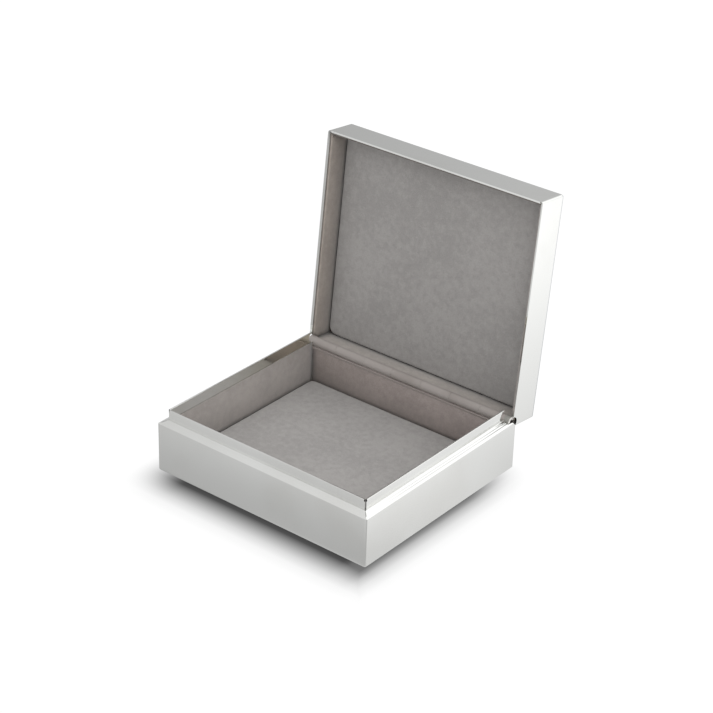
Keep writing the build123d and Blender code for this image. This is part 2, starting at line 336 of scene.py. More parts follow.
def buildLamp(settings):
    lamp = bpy.data.lights.new("softbox", "AREA")
    lamp.size = settings["lampSize"]
    lamp.energy = settings["lampPower"]
    holder = bpy.data.objects.new("softbox", lamp)
    holder.location = settings["lampAt"]
    holder.rotation_euler = Vector(settings["lampAt"]).to_track_quat("Z", "Y").to_euler()
    holder.visible_glossy = False
    bpy.context.scene.collection.objects.link(holder)


bpy.context.scene.view_settings.view_transform = "Standard"
buildCamera(studio)
buildSky(studio)
buildFloor(studio)
buildLamp(studio)
print("studio ready")


# Finishes

plate = {
    "tone": (0.90, 0.905, 0.888),
    "dullTone": (0.855, 0.856, 0.834),
    "bloom": (0.42, 0.72),             # where in the clouds the plate turns duller
    "cloudScale": 26,                  # soft clouds left by the polishing wheel
    "rubScale": 1400,                  # fine rubbing marks
    "rubStretch": (1, 0.22, 1),
    "rubDepth": 0.012,
    "rubHeight": 0.1 * mm,
    "polish": (0.07, 0.16),            # roughness where bright and where rubbed
    "polishFrom": (0.35, 0.65),
    "cloudShare": 0.6,                 # of the roughness, the rest follows the rubbing marks
    "seamToRoot": 1.05 * mm,           # from the lip's seam to the foot of the upstand
    "grooveShadeReach": 0.72 * mm,
    "grooveShadeRise": 5.2 * mm,
    "holeShadeDepth": 1.0 * mm,             # painted shade: a dark spot at the hole at the top of the groove
    "dotReach": 0.95 * mm,
    "grooveShadeShare": 0.78,
    "grooveShadeDeep": (-0.80 * mm, -0.95 * mm),   # where the groove's painted shade starts and is darkest
    # painted shade, for the corner grooves and the lid's notches
    "paintedShadeTone": (0.05, 0.047, 0.043),
    "shadeLineReaches": (1.05 * mm, 2.05 * mm),   # painted shade and reflection lines on the side ledges, from the upstand
    "shadeLineHalf": 0.26 * mm,
    "shadeLineShares": (1.35, 1.0),
    "shadeLineAlong": ((-45 * mm, -18 * mm, 0, 0.36), (24 * mm, 43 * mm, 0, 0.52)),
    # painted shade and reflection lines on the side ledges
    "ledgeLineShade": (0.10, 0.10, 0.095),
    "mitreShade": 0.9,                  # painted shade: a short dark mark on the two front mitres
    "mitreHalf": 0.42 * mm,
    "insideReflectionTint": (0.84, 0.82, 0.70),  # painted reflection: warm tint on the inner faces of the side upstands, to the back, for the brown lining they mirror
    "insideAlong": (-30 * mm, 46 * mm),
    "sideways": 0.8,                   # how squarely a face looks along an axis to count as its side
    "notchRadius": (2.5 * mm, 2.7 * mm),
    "notchFacing": 0.7,
    "ledgeFacing": (0.8, 0.97),        # how far up the ledge's faces look
    "ledgeLean": (0.23, 0.23, 0),      # the ledge is drawn hollow, leaning out more than its flat form
    "lipLean": (0, 0.425, 0.85),       # the lid's opening edge is rounded over, so it catches the light
    "lipAbove": 1 * mm,
    "lipEnds": 1.6 * mm,
    "leftLipShade": (0.5, 0.5, 0.49),
    "foldReach": 1.1 * mm,             # the lid's outer folds look a little darker
    "foldFacing": 0.5,
    "foldShade": (0.92, 0.92, 0.92),
    "sideFoldShade": (0.66, 0.67, 0.68),
}
hingePlate = {
    "tone": (0.342, 0.312, 0.295),     # matt warm grey along the tube
    "dullTone": (0.298, 0.269, 0.252),
    "bloom": (0.4, 0.7),
    "seatTone": (0.29, 0.255, 0.24),
    # painted shade inside the bore and low at the back of the tube's ends
    "boreAndEndShade": (0.05, 0.045, 0.04),
    "outerShade": (0.26, 0.255, 0.235), # painted shade on the tube beyond the right upstand, under the rim's horn
    "outerFrom": (55.5 * mm, 56.5 * mm),
    "endTone": (0.92, 0.90, 0.87),
    "endReach": 0.1 * mm,
    "endFacing": (0.6, -0.9),          # the right end shows its rounded edge too
    "endShade": (0.45 * mm, -0.25 * mm),   # painted shadow low at the back of the tube's ends
    "skin": 0.02 * mm,                 # how far off a round face still counts as that face
    "boreSkin": 0.12 * mm,
    "polish": (0.34, 0.44),
    "polishFrom": (0.35, 0.65),
    "mattPolish": 0.75,
    "cloudScale": 60,
    "rubScale": 1400,
    "rubStretch": (0.22, 1, 1),
    "rubDepth": 0.012,
    "rubHeight": 0.1 * mm,
}
suede = {
    "tone": (0.311, 0.299, 0.290),
    "napDark": 0.90,                   # how much darker brushed-down nap is
    "napLight": 1.06,
    "napFrom": (0.36, 0.64),
    "patchScale": 34,                  # large soft patches
    "patchShare": 0.45,                # of the nap's lightness, the rest is mottling
    "mottleScale": 330,                # mottling a few millimetres across
    "grainScale": 2600,                # single tufts
    "tuftFrom": (0.3, 0.7),
    "tuftTones": ((0.90, 0.90, 0.90), (1.07, 1.07, 1.07)),
    "grainDepth": 0.25,
    "grainHeight": 0.3 * mm,
    "mottleShare": 0.7,                # of the relief, the rest is tufts
    "speckScale": 55,                  # sparse dark specks
    "speckSize": 0.016,
    "speckShare": 0.10,
    "speckTone": (0.10, 0.09, 0.085),
    "rough": 0.95,
    "gloss": 0.15,
    "sheen": 0.22,
    "sheenRough": 0.6,
}
liningSuede = dict(
    suede, tone=(0.33, 0.302, 0.283), patchScale=50,
    # painted shade in the lining's creases, from an occlusion node
    creaseReach=1.5 * mm, creaseSteps=8, creaseOpen=(0.5, 0.95), creaseShade=0.72,
)
board = {
    "tone": (0.46, 0.36, 0.25),
    "lineTone": (0.33, 0.24, 0.15),
    "grainScale": 160,
    "grainFrom": (0.4, 0.62),
    "grainDepth": 0.2,
    "grainHeight": 0.2 * mm,
    "stretch": (0.06, 1, 1),
    "rough": 0.8,
}


def startMaterial(name):
    material = bpy.data.materials.new(name)
    material.use_nodes = True
    tree = material.node_tree
    return material, tree.nodes, tree.links, tree.nodes["Principled BSDF"]


def grainNoise(nodes, links, scale, detail, stretch=(1, 1, 1)):
    mapping = nodes.new("ShaderNodeMapping")
    mapping.inputs["Scale"].default_value = stretch
    links.new(objectPlace(nodes), mapping.inputs["Vector"])
    texture = nodes.new("ShaderNodeTexNoise")
    texture.inputs["Scale"].default_value = scale
    texture.inputs["Detail"].default_value = detail
    links.new(mapping.outputs["Vector"], texture.inputs["Vector"])
    return texture.outputs["Fac"]


def blendColours(nodes, links, factor, first, second, mode="MIX"):
    step = nodes.new("ShaderNodeMix")
    step.data_type = "RGBA"
    step.blend_type = mode
    sockets = {socket.identifier: socket for socket in step.inputs}
    for key, value in (("Factor_Float", factor), ("A_Color", first), ("B_Color", second)):
        if isinstance(value, (int, float)):
            sockets[key].default_value = value
        elif isinstance(value, tuple):
            sockets[key].default_value = value + (1,)
        else:
            links.new(value, sockets[key])
    return next(socket for socket in step.outputs if socket.identifier == "Result_Color")


def bumpFrom(nodes, links, shader, height, strength, distance):
    bump = nodes.new("ShaderNodeBump")
    bump.inputs["Strength"].default_value = strength
    bump.inputs["Distance"].default_value = distance
    links.new(height, bump.inputs["Height"])
    links.new(bump.outputs["Normal"], shader.inputs["Normal"])
    return bump.outputs["Normal"]


def fromHinge(nodes, links):
    # the way from the hinge axis to the point, square to the axis, and how far it is
    fromPoint = vectors(nodes, links, "SUBTRACT", objectPlace(nodes), hingePoint)
    across = vectors(nodes, links, "MULTIPLY", fromPoint, (0, 1, 1))
    return across, vectors(nodes, links, "LENGTH", across, None, "Value")


def grooveShadeMarks(nodes, links, finish, aside, along, z, top):
    # painted shade in the groove where the upstand's strips meet at the two front corners, darker deeper in, with
    # a dark spot at the hole at the top
    squares = [sums(nodes, links, "POWER", way, 2) for way in (aside, along)]
    away = sums(nodes, links, "SQRT", sums(nodes, links, "ADD", *squares), 0)
    shallow, deep = finish["grooveShadeDeep"]
    groove = times(
        nodes, links,
        sums(nodes, links, "LESS_THAN", away, finish["grooveShadeReach"]),
        sums(nodes, links, "GREATER_THAN", z, top - finish["grooveShadeRise"]),
        spread(nodes, links, sums(nodes, links, "SUBTRACT", aside, along), deep, shallow, 1, 0),
        finish["grooveShadeShare"],
    )
    drop = times(
        nodes, links,
        sums(nodes, links, "GREATER_THAN", z, top - finish["holeShadeDepth"]),
        sums(nodes, links, "LESS_THAN", away, finish["dotReach"]),
    )
    return sums(nodes, links, "MAXIMUM", groove, drop)


def ledgeShadeLines(nodes, links, finish, aside, along, y):
    # painted shade and reflection lines along the side ledges, fading along them, and a short dark mark of painted
    # shade on the two front mitres
    strength = 0
    for stretch in finish["shadeLineAlong"]:
        strength = sums(nodes, links, "ADD", strength, spread(nodes, links, y, *stretch))
    lineShade = 0
    for reach, share in zip(finish["shadeLineReaches"], finish["shadeLineShares"]):
        beside = sums(nodes, links, "ABSOLUTE", sums(nodes, links, "SUBTRACT", aside, reach), 0)
        line = spread(nodes, links, beside, 0, finish["shadeLineHalf"], share, 0)
        lineShade = sums(nodes, links, "ADD", lineShade, times(nodes, links, line, strength))
    firstLine, lastLine = finish["shadeLineReaches"]
    offMitre = sums(nodes, links, "ABSOLUTE", sums(nodes, links, "ADD", aside, along), 0)
    mark = times(
        nodes, links,
        spread(nodes, links, offMitre, 0, finish["mitreHalf"], finish["mitreShade"], 0),
        sums(nodes, links, "GREATER_THAN", aside, firstLine / 2),
        sums(nodes, links, "LESS_THAN", aside, lastLine),
        sums(nodes, links, "LESS_THAN", y, 0),
    )
    return sums(nodes, links, "ADD", lineShade, mark)


def plateMaterial(name, finish):
    # bright plate with polishing clouds, fine rubbing marks and a duller bloom
    material, nodes, links, shader = startMaterial(name)
    shader.inputs["Metallic"].default_value = 1
    clouds = grainNoise(nodes, links, finish["cloudScale"], detail=3)
    rubs = grainNoise(nodes, links, finish["rubScale"], detail=5, stretch=finish["rubStretch"])
    bloom = spread(nodes, links, clouds, *finish["bloom"])
    colour = blendColours(nodes, links, bloom, finish["tone"], finish["dullTone"])
    x, y, z = partsOf(nodes, links, objectPlace(nodes))
    normal = nodes.new("ShaderNodeNewGeometry").outputs["True Normal"]
    facingX, facingY, facingZ = partsOf(nodes, links, normal)

    # painted shade in the front corner grooves, painted shade and reflection lines along the sloping ledge's seams
    rimLow, rimHigh = boxOf("rim_front")
    cornerX = boxOf("rim_right")[1].x - finish["seamToRoot"]
    cornerY = rimLow.y + finish["seamToRoot"]
    aside = sums(nodes, links, "SUBTRACT", sums(nodes, links, "ABSOLUTE", x, 0), cornerX)
    along = sums(nodes, links, "SUBTRACT", y, cornerY)
    cornerShade = grooveShadeMarks(nodes, links, finish, aside, along, z, rimHigh.z)
    colour = blendColours(nodes, links, cornerShade, colour, finish["paintedShadeTone"])
    steepest, flattest = finish["ledgeFacing"]
    onLedge = times(
        nodes, links,
        sums(nodes, links, "GREATER_THAN", facingZ, steepest),
        sums(nodes, links, "LESS_THAN", facingZ, flattest),
    )
    lineShade = times(nodes, links, ledgeShadeLines(nodes, links, finish, aside, along, y), onLedge)
    colour = blendColours(nodes, links, lineShade, colour, finish["ledgeLineShade"])

    # painted reflection: a warm tint on the inner faces of the side upstands, standing in for the brown lid lining
    # they mirror
    outwards = times(nodes, links, facingX, sums(nodes, links, "SIGN", x, 0))
    mirrorTinted = times(
        nodes, links,
        sums(nodes, links, "LESS_THAN", outwards, -finish["sideways"]),
        sums(nodes, links, "LESS_THAN", z, rimHigh.z),
        spread(nodes, links, y, *finish["insideAlong"]),
    )
    colour = blendColours(nodes, links, mirrorTinted, colour, finish["insideReflectionTint"])

    # shade inside the round notches of the lid's side walls
    radial, radius = fromHinge(nodes, links)
    towards = vectors(nodes, links, "DOT_PRODUCT", radial, normal, "Value")
    least, most = finish["notchRadius"]
    inNotch = times(
        nodes, links,
        sums(nodes, links, "LESS_THAN", towards, -finish["notchFacing"] * least),
        sums(nodes, links, "GREATER_THAN", radius, least),
        sums(nodes, links, "LESS_THAN", radius, most),
    )
    colour = blendColours(nodes, links, inNotch, colour, finish["paintedShadeTone"])

    # the fold between the lid's top and its sides
    outOfTop = toOpen.to_3x3() @ Vector((0, 0, 1))
    height = vectors(nodes, links, "DOT_PRODUCT", radial, outOfTop, "Value")
    acrossTop = vectors(nodes, links, "DOT_PRODUCT", normal, outOfTop, "Value")
    foldFrom = boxOf("lid_top_plate", True)[1].z - hingePoint.z - finish["foldReach"]
    onFold = times(
        nodes, links,
        sums(nodes, links, "GREATER_THAN", height, foldFrom),
        sums(nodes, links, "LESS_THAN", acrossTop, finish["foldFacing"]),
    )
    facesRight = sums(nodes, links, "GREATER_THAN", facingX, finish["foldFacing"])
    foldShade = blendColours(nodes, links, facesRight, finish["foldShade"], finish["sideFoldShade"])
    colour = blendColours(nodes, links, onFold, colour, foldShade)

    # the opening edge of the lid, without its right end
    lipEnd = boxOf("lid_right_wall")[1].x - finish["lipEnds"]
    onLip = times(
        nodes, links,
        sums(nodes, links, "LESS_THAN", facingY, -finish["sideways"]),
        sums(nodes, links, "GREATER_THAN", z, rimHigh.z + finish["lipAbove"]),
        sums(nodes, links, "LESS_THAN", x, lipEnd),
    )
    onLeftLip = times(nodes, links, onLip, sums(nodes, links, "LESS_THAN", x, -lipEnd))
    colour = blendColours(nodes, links, onLeftLip, colour, finish["leftLipShade"])
    links.new(colour, shader.inputs["Base Color"])

    worn = addShares(nodes, links, clouds, rubs, finish["cloudShare"])
    polish = spread(nodes, links, worn, *finish["polishFrom"], *finish["polish"])
    links.new(polish, shader.inputs["Roughness"])
    bumped = bumpFrom(nodes, links, shader, rubs, finish["rubDepth"], finish["rubHeight"])
    hollow = vectors(nodes, links, "MULTIPLY", normal, finish["ledgeLean"])
    hollow = vectors(nodes, links, "MULTIPLY", hollow, onLedge)
    rolled = vectors(nodes, links, "MULTIPLY", finish["lipLean"], onLip)
    leaned = vectors(nodes, links, "ADD", bumped, vectors(nodes, links, "ADD", hollow, rolled))
    links.new(vectors(nodes, links, "NORMALIZE", leaned), shader.inputs["Normal"])
    return material


def suedeMaterial(name, finish):
    # brushed nap: soft patches, mottling, tufts and a few dark specks
    material, nodes, links, shader = startMaterial(name)
    patches = grainNoise(nodes, links, finish["patchScale"], detail=2)
    mottle = grainNoise(nodes, links, finish["mottleScale"], detail=3)
    tufts = grainNoise(nodes, links, finish["grainScale"], detail=2)
    dark = tuple(value * finish["napDark"] for value in finish["tone"])
    light = tuple(value * finish["napLight"] for value in finish["tone"])
    nap = addShares(nodes, links, patches, mottle, finish["patchShare"])
    colour = blendColours(nodes, links, spread(nodes, links, nap, *finish["napFrom"]), dark, light)
    tuftLight = spread(nodes, links, tufts, *finish["tuftFrom"])
    tuftTone = blendColours(nodes, links, tuftLight, *finish["tuftTones"])
    colour = blendColours(nodes, links, 1.0, colour, tuftTone, "MULTIPLY")

    cells = nodes.new("ShaderNodeTexVoronoi")
    cells.inputs["Scale"].default_value = finish["speckScale"]
    links.new(objectPlace(nodes), cells.inputs["Vector"])
    near = spread(nodes, links, cells.outputs["Distance"], finish["speckSize"] * 2, finish["speckSize"])
    chosen = nodes.new("ShaderNodeSeparateColor")
    links.new(cells.outputs["Color"], chosen.inputs["Color"])
    rare = sums(nodes, links, "LESS_THAN", chosen.outputs["Red"], finish["speckShare"])
    colour = blendColours(nodes, links, times(nodes, links, near, rare), colour, finish["speckTone"])
    if "creaseReach" in finish:
        # painted light and shade: each face of the lining is made lighter or darker for how light falls on it, and
        # its creases get painted shade from an occlusion node
        paintedLight = nodes.new("ShaderNodeAttribute")
        paintedLight.attribute_name = "paintedLight"
        colour = blendColours(nodes, links, 1.0, colour, paintedLight.outputs["Color"], "MULTIPLY")
        openness = nodes.new("ShaderNodeAmbientOcclusion")
        openness.samples = finish["creaseSteps"]
        openness.inputs["Distance"].default_value = finish["creaseReach"]
        isOpen = openness.outputs["AO"]
        crease = spread(nodes, links, isOpen, *finish["creaseOpen"], finish["creaseShade"], 1)
        colour = blendColours(nodes, links, 1.0, colour, crease, "MULTIPLY")
    links.new(colour, shader.inputs["Base Color"])
    shader.inputs["Roughness"].default_value = finish["rough"]
    shader.inputs["Specular IOR Level"].default_value = finish["gloss"]
    shader.inputs["Sheen Weight"].default_value = finish["sheen"]
    shader.inputs["Sheen Roughness"].default_value = finish["sheenRough"]
    height = addShares(nodes, links, mottle, tufts, finish["mottleShare"])
    bumpFrom(nodes, links, shader, height, finish["grainDepth"], finish["grainHeight"])
    return material


def hingeMaterial(name, finish):
    # tube matt and warm grey, bright on its cut ends and on the pin, with painted shade inside the bore and low at
    # the back of the ends
    material, nodes, links, shader = startMaterial(name)
    x = partsOf(nodes, links, objectPlace(nodes))[0]
    normal = nodes.new("ShaderNodeNewGeometry").outputs["True Normal"]
    facingX = partsOf(nodes, links, normal)[0]
    radial, radius = fromHinge(nodes, links)
    back, up = partsOf(nodes, links, radial)[1:]
    pinLow, pinHigh = boxOf("hinge_pin")
    pinRadius = (pinHigh.z - pinLow.z) / 2
    tubeLow, tubeHigh = boxOf("base_knuckle_1")
    tubeRadius = (tubeHigh.z - tubeLow.z) / 2
    isPin = sums(nodes, links, "LESS_THAN", radius, pinRadius + finish["skin"])
    isOuter = sums(nodes, links, "GREATER_THAN", radius, pinRadius + finish["boreSkin"])
    isSeat = sums(nodes, links, "GREATER_THAN", radius, tubeRadius + finish["skin"])

    # the ends of the tube, with painted shadow low at their back
    outOfMiddle = sums(nodes, links, "ABSOLUTE", x, 0)
    facesRight, facesLeft = finish["endFacing"]
    isEnd = times(
        nodes, links,
        sums(nodes, links, "GREATER_THAN", outOfMiddle, -tubeLow.x - finish["endReach"]),
        sums(
            nodes, links, "MAXIMUM",
            sums(nodes, links, "GREATER_THAN", facingX, facesRight),
            sums(nodes, links, "LESS_THAN", facingX, facesLeft),
        ),
    )
    tallest, furthest = finish["endShade"]
    endShadowed = times(
        nodes, links,
        sums(nodes, links, "LESS_THAN", up, tallest),
        sums(nodes, links, "GREATER_THAN", back, furthest),
    )
    brightEnd = times(nodes, links, isEnd, sums(nodes, links, "SUBTRACT", 1, endShadowed))
    isBright = sums(nodes, links, "MAXIMUM", isPin, brightEnd)
    isDark = times(nodes, links, isEnd, endShadowed)
    isShown = times(nodes, links, isOuter, sums(nodes, links, "SUBTRACT", 1, isDark))

    rubs = grainNoise(nodes, links, finish["rubScale"], detail=5, stretch=finish["rubStretch"])
    clouds = grainNoise(nodes, links, finish["cloudScale"], detail=3)
    bloom = spread(nodes, links, clouds, *finish["bloom"])
    satin = blendColours(nodes, links, bloom, finish["tone"], finish["dullTone"])
    satin = blendColours(nodes, links, isSeat, satin, finish["seatTone"])
    # painted shade on the tube beyond the right upstand
    isBeyond = spread(nodes, links, x, *finish["outerFrom"])
    satin = blendColours(nodes, links, isBeyond, satin, finish["outerShade"])
    tube = blendColours(nodes, links, isShown, finish["boreAndEndShade"], satin)
    links.new(blendColours(nodes, links, isBright, tube, finish["endTone"]), shader.inputs["Base Color"])
    links.new(isBright, shader.inputs["Metallic"])
    rough = nodes.new("ShaderNodeMix")
    rough.inputs["A"].default_value = finish["mattPolish"]
    links.new(isBright, rough.inputs["Factor"])
    links.new(spread(nodes, links, rubs, *finish["polishFrom"], *finish["polish"]), rough.inputs["B"])
    links.new(rough.outputs["Result"], shader.inputs["Roughness"])
    bumpFrom(nodes, links, shader, rubs, finish["rubDepth"], finish["rubHeight"])
    return material


def boardMaterial(name, finish):
    # thin sawn board behind the suede, seen only at its edges
    material, nodes, links, shader = startMaterial(name)
    grain = grainNoise(nodes, links, finish["grainScale"], detail=6, stretch=finish["stretch"])
    lines = spread(nodes, links, grain, *finish["grainFrom"])
    colour = blendColours(nodes, links, lines, finish["tone"], finish["lineTone"])
    links.new(colour, shader.inputs["Base Color"])
    shader.inputs["Roughness"].default_value = finish["rough"]
    bumpFrom(nodes, links, shader, grain, finish["grainDepth"], finish["grainHeight"])
    return material


finishes = {
    "plated_metal": plateMaterial("polishedPlate", plate),
    "hinge_metal": hingeMaterial("hingePlate", hingePlate),
    "liner_board": boardMaterial("linerBoard", board),
    "suede_lining": suedeMaterial("suedeLining", liningSuede),
    "suede_pad": suedeMaterial("suedePad", suede),
}
slotOf = {part["node"]: part["material_slot"] for part in frame["record"]["subparts"]}
for node, piece in cadNodes.items():
    piece.data.materials.clear()
    piece.data.materials.append(finishes[slotOf[node]])
print("finishes ready")


# Suede linings: cloth glued to the boards, turned over their edges in the lid

lining = {
    "foldRadius": 0.5 * mm,
    "foldSteps": 4,
    "foldAngle": 0.5,                  # an edge that bends more than this is a fold
    "edgeRound": 0.14 * mm,
    "edgeSteps": 2,
    "shortest": 1 * mm,                # shorter edges run through the cloth's thickness
    "cellSize": 4 * mm,
    "alongRun": 0.9,                   # how closely an edge follows the strip's length to be divided
    "ripple": 0.05 * mm,               # how far a cut edge wanders
    "rippleSize": 9 * mm,
    "rippleDrop": 0.4,                 # how much lower the wandering edge lies, as a share of the ripple
    "rippleZone": 0.3 * mm,
    "onLevel": 0.01 * mm,
    "tubeGap": 0.15 * mm,              # what the side cloths leave free round the hinge tube
    "tubeSteps": 6,
    "gapShare": 0.6,                   # how far the hinge side's cloth reaches down into that gap
    "paintedLightReach": 0.6,                  # how quickly the painted light changes, done a little before both ends
    # painted light and shade, standing in for how light falls on each face: how light a face is at its left and
    # right end, and by how much at its low and high edge
    "paintedLights": {
        "base_left_cloth": ((1, 1, 1), (1, 1, 1), 1.45, 0.80),
        "base_back_cloth": ((0.84, 0.785, 0.78), (1.13, 1.06, 1.07), 1.42, 0.98),
        "lid_back_cloth": ((1.22, 1.22, 1.20), (1.22, 1.22, 1.20), 1.0, 1.12),
        "lid_left_cloth": ((0.97, 0.93, 0.88), (0.97, 0.93, 0.88), 1.02, 0.88),
        # painted shade on the lid's front cloth, where its folded edge shows
        "lid_front_cloth": ((0.5, 0.49, 0.47), (0.5, 0.49, 0.47), 1.0, 1.0),
    },
}


def lightness(shape, node):
    # painted light and shade: a colour share for each point of a lining, before it is turned with the lid
    left, right, low, high = lining["paintedLights"].get(node, ((1, 1, 1), (1, 1, 1), 1, 1))
    halfWidth = boxOf("base_front_wall")[1].x
    heights = [vertex.co.z for vertex in shape.verts]
    lowest, highest = min(heights), max(heights)
    shares = []
    for vertex in shape.verts:
        across = min(1, max(0, vertex.co.x / halfWidth * lining["paintedLightReach"] + 0.5))
        up = (vertex.co.z - lowest) / (highest - lowest)
        level = low + (high - low) * up
        paintedLight = [(first + (last - first) * across) * level for first, last in zip(left, right)]
        shares.append(paintedLight + [1])
    return shares


def settle(shape, name, body, slotName, node, turn=None):
    # turns a bmesh into a finished piece that stands for a CAD piece
    bmesh.ops.remove_doubles(shape, verts=shape.verts, dist=0.001 * mm)
    bmesh.ops.recalc_face_normals(shape, faces=shape.faces)
    shares = lightness(shape, node)
    if turn is not None:
        bmesh.ops.transform(shape, matrix=turn, verts=shape.verts)
    mesh = bpy.data.meshes.new(name)
    shape.to_mesh(mesh)
    shape.free()
    mesh.materials.append(finishes[slotName])
    paintedLight = mesh.color_attributes.new("paintedLight", "FLOAT_COLOR", "POINT")
    for item, share in zip(paintedLight.data, shares):
        item.color = share
    mesh.shade_smooth()
    piece = bpy.data.objects.new(name, mesh)
    bpy.context.scene.collection.objects.link(piece)
    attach(piece, body)
    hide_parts(node)
    return piece


def clothStrip(startLine, endLine, thickness, toBoard, settings, hasFold):
    # a strip of cloth between two matching lines of points, thickened away from its showing side
    shape = bmesh.new()
    edges = []
    for line in (startLine, endLine):
        corners = [shape.verts.new(point) for point in line]
        edges += [shape.edges.new(pair) for pair in zip(corners, corners[1:])]
    bmesh.ops.bridge_loops(shape, edges=edges)
    if hasFold:
        fold = [
            edge for edge in shape.edges
            if len(edge.link_faces) == 2 and edge.calc_face_angle() > settings["foldAngle"]
        ]
        bmesh.ops.bevel(
            shape, geom=fold, offset=settings["foldRadius"], segments=settings["foldSteps"],
            profile=0.5, affect="EDGES", material=-1,
        )
    length = (endLine[0] - startLine[0]).length
    run = (endLine[0] - startLine[0]).normalized()
    along = [
        edge for edge in shape.edges
        if abs((edge.verts[1].co - edge.verts[0].co).normalized().dot(run)) > settings["alongRun"]
    ]
    cuts = max(2, int(length / settings["cellSize"]))
    bmesh.ops.subdivide_edges(shape, edges=along, cuts=cuts, use_grid_fill=True)
    bmesh.ops.recalc_face_normals(shape, faces=shape.faces)
    face = max(shape.faces, key=lambda item: item.calc_area())
    if face.normal.dot(toBoard) > 0:
        bmesh.ops.reverse_faces(shape, faces=shape.faces)
    bmesh.ops.solidify(shape, geom=shape.faces[:], thickness=thickness)
    return shape


def softenEdge(shape, settings, level):
    # rounds and slightly waves the free edge of a strip, which lies at one height
    near = [
        edge for edge in shape.edges
        if all(abs(vertex.co.z - level) < settings["onLevel"] for vertex in edge.verts)
        and edge.calc_length() > settings["shortest"]
    ]
    bmesh.ops.bevel(
        shape, geom=near, offset=settings["edgeRound"], segments=settings["edgeSteps"],
        profile=0.5, affect="EDGES", material=-1,
    )
    for vertex in shape.verts:
        if abs(vertex.co.z - level) < settings["rippleZone"]:
            wave = noise.noise(vertex.co / settings["rippleSize"]) - settings["rippleDrop"]
            vertex.co.z += settings["ripple"] * wave


def buildBaseLinings(settings):
    boardsAt = {"front": (0, -1, 0), "back": (0, 1, 0), "left": (-1, 0, 0), "right": (1, 0, 0)}
    for side, toBoard in boardsAt.items():
        node = "base_%s_cloth" % side
        low, high = boxOf(node)
        face = {"front": high.y, "back": low.y, "left": high.x, "right": low.x}[side]
        if side in ("front", "back"):
            ends = [[Vector((x, face, z)) for z in (high.z, low.z)] for x in (low.x, high.x)]
            thickness = high.y - low.y
        else:
            ends = [[Vector((face, y, z)) for z in (high.z, low.z)] for y in (low.y, high.y)]
            thickness = high.x - low.x
        shape = clothStrip(ends[0], ends[1], thickness, Vector(toBoard), settings, False)
        softenEdge(shape, settings, high.z)
        piece = settle(shape, "baseSuede_" + side, "base", "suede_lining", node)


buildBaseLinings(lining)
print("base linings ready")


def buildLidLinings(settings):
    boardLow, boardHigh = boxOf("lid_front_liner", True)
    wallX = boardHigh.x
    frontWallY = boardLow.y
    frontLow, frontHigh = boxOf("lid_front_cloth", True)
    rimZ = frontLow.z
    topZ = frontHigh.z
    frontFace = frontHigh.y
    sideLow, sideHigh = boxOf("lid_right_cloth", True)
    faceX = sideLow.x
    low, high = boxOf("lid_back_cloth", True)
    thickness = high.y - low.y

    # front: turned over the board with mitred corners
    ends = [
        [
            Vector((side * wallX, frontWallY, rimZ)),
            Vector((side * faceX, frontFace, rimZ)),
            Vector((side * faceX, frontFace, topZ)),
        ]
        for side in (-1, 1)
    ]
    shape = clothStrip(ends[0], ends[1], thickness, Vector((0, -1, 0)), settings, True)
    piece = settle(shape, "lidSuede_front", "lid", "suede_lining", "lid_front_cloth", toOpen)

    # sides: the same, hollowed round the hinge tube
    tubeLow, tubeHigh = boxOf("base_knuckle_1")
    room = (tubeHigh.z - tubeLow.z) / 2 + settings["tubeGap"]
    firstAngle = math.asin((rimZ - hingePoint.z) / room)
    lastAngle = math.acos((hingePoint.y - sideHigh.y) / room)
    hollow = []
    for step in range(settings["tubeSteps"] + 1):
        angle = firstAngle + (lastAngle - firstAngle) * step / settings["tubeSteps"]
        hollow.append((hingePoint.y - room * math.cos(angle), hingePoint.z + room * math.sin(angle)))
    hollow.append((sideHigh.y, topZ))
    for side, label in ((-1, "left"), (1, "right")):
        start = [Vector((side * wallX, frontWallY, rimZ))]
        end = [Vector((side * wallX, hollow[0][0], rimZ))]
        for y, z in hollow:
            start.append(Vector((side * faceX, frontFace, z)))
            end.append(Vector((side * faceX, y, z)))
        shape = clothStrip(start, end, thickness, Vector((side, 0, 0)), settings, True)
        piece = settle(shape, "lidSuede_" + label, "lid", "suede_lining", "lid_%s_cloth" % label, toOpen)

    # hinge side: a plain strip above the tube
    low.z -= settings["tubeGap"] * settings["gapShare"]
    ends = [[Vector((x, low.y, z)) for z in (low.z, high.z)] for x in (low.x, high.x)]
    shape = clothStrip(ends[0], ends[1], thickness, Vector((0, 1, 0)), settings, False)
    softenEdge(shape, settings, low.z)
    piece = settle(shape, "lidSuede_hinge", "lid", "suede_lining", "lid_back_cloth", toOpen)


buildLidLinings(lining)
print("lid linings ready")


# Pads: suede over thin foam, drawn in round the edge and a little proud in the middle

floorPad = {
    "name": "floorPadSuede",
    "node": "floor_pad",
    "body": "base",
    "faceDown": False,
    "edgeRound": 0.8 * mm,
    "edgeSteps": 4,
    "cornerCut": 0.35 * mm,            # how far the pad's corners are drawn in
    "cell": 3 * mm,
    "crown": 0.25 * mm,
    "loft": 0.5 * mm,                  # how far the filling lifts the edge above the plain solid's
    "dent": 0.05 * mm,
    "dentSize": 11 * mm,
    "heldFrom": 0.5,                   # of the edge's rounding, held from there down while it swells
    "pressure": 4,
    "bending": 5,
    "stretching": 60,
    "frames": 20,
}
lidPad = dict(
    floorPad, name="lidPadSuede", node="lid_pad", body="lid", faceDown=True, edgeRound=1.0 * mm,
    cornerCut=1.1 * mm, crown=0.35 * mm, loft=0,
)


